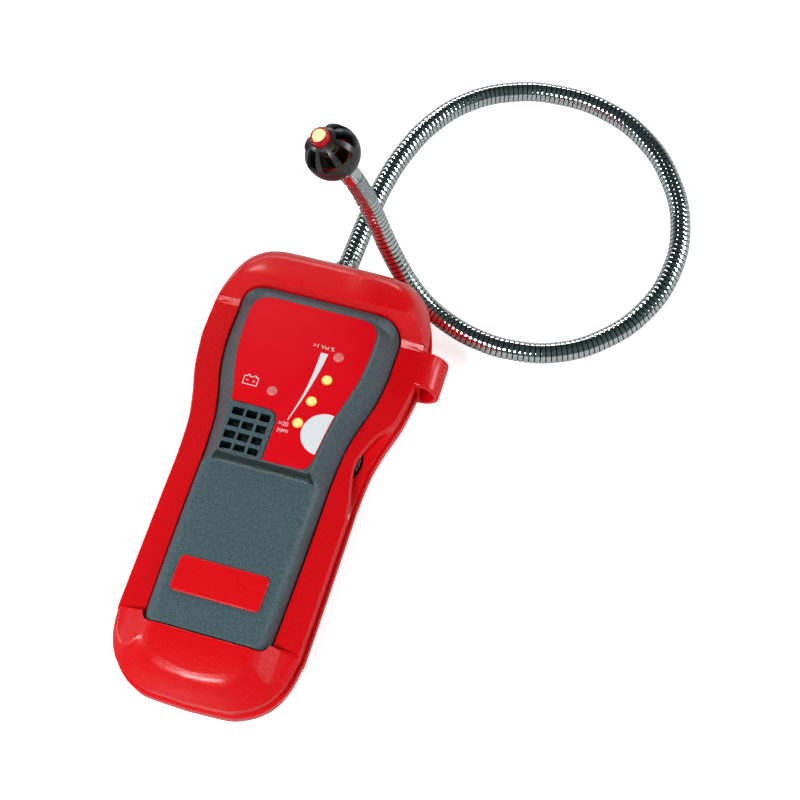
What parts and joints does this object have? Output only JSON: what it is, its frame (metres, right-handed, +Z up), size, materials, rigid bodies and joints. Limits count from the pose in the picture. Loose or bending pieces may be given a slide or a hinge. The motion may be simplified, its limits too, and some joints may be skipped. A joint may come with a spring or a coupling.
{
  "type": "gas leak detector",
  "caption": "Hand-held gas leak detector: waisted red case, raised grey panel with label, lamps and grille, side thumbwheel, parking lug and a long looped gooseneck with a ribbed sensor head.",
  "frame": {"origin": "on the flat back of the rear shell, on the case's centre line, where the detector rests on a table", "axes": "+Z up out of the front panel, +Y along the case to the gooseneck end, +X to the thumbwheel side"},
  "size_m": [0.1955, 0.3391, 0.1133],
  "materials": {
    "red_case": "satin",
    "grey_panel": "fine grain",
    "red_label": "satin film",
    "lens_off": "clear lens, not lit",
    "lens_lit": "lit lens",
    "board_green": "lacquered",
    "black_plastic": "moulded",
    "chrome": "polished",
    "steel": "plated",
    "contact_metal": "plated",
    "cell_jacket": "printed sleeve",
    "red_clear": "translucent"
  },
  "bodies": {
    "case": {"front_shell": "red_case", "rear_shell": "red_case", "front_panel": "grey_panel", "display_label": "red_label", "name_plate": "red_case", "led_scale_1": "lens_lit", "led_scale_2": "lens_lit", "led_scale_3": "lens_lit", "led_scale_4": "lens_off", "led_battery": "lens_off", "circuit_board": "board_green", "buzzer": "black_plastic", "controller_chip": "black_plastic", "potentiometer": "steel", "battery_tray": "black_plastic", "cell_1": "cell_jacket", "cell_2": "cell_jacket", "cell_3": "cell_jacket", "cell_4": "cell_jacket", "contact_upper": "contact_metal", "contact_lower": "contact_metal", "case_screw_1": "steel", "case_screw_2": "steel", "case_screw_3": "steel", "case_screw_4": "steel", "neck_gland": "chrome", "gooseneck": "chrome", "head_sleeve": "chrome", "head_cage": "black_plastic", "led_collar": "red_clear", "head_led": "lens_lit", "gas_sensor": "steel", "sensor_base": "board_green"},
    "wheel": {"thumbwheel": "black_plastic"},
    "door": {"battery_door": "red_case"}
  },
  "joints": [
    {"name": "thumbwheel_turn", "type": "hinge", "parent": "case", "child": "wheel", "pos_m": [0.0252, 0.0156, 0.0268], "axis": [0, 0, 1], "range_deg": [0, 270]},
    {"name": "battery_door_slide", "type": "slide", "parent": "case", "child": "door", "axis": [0, -1, 0], "range_m": [0, 0.075]}
  ]
}
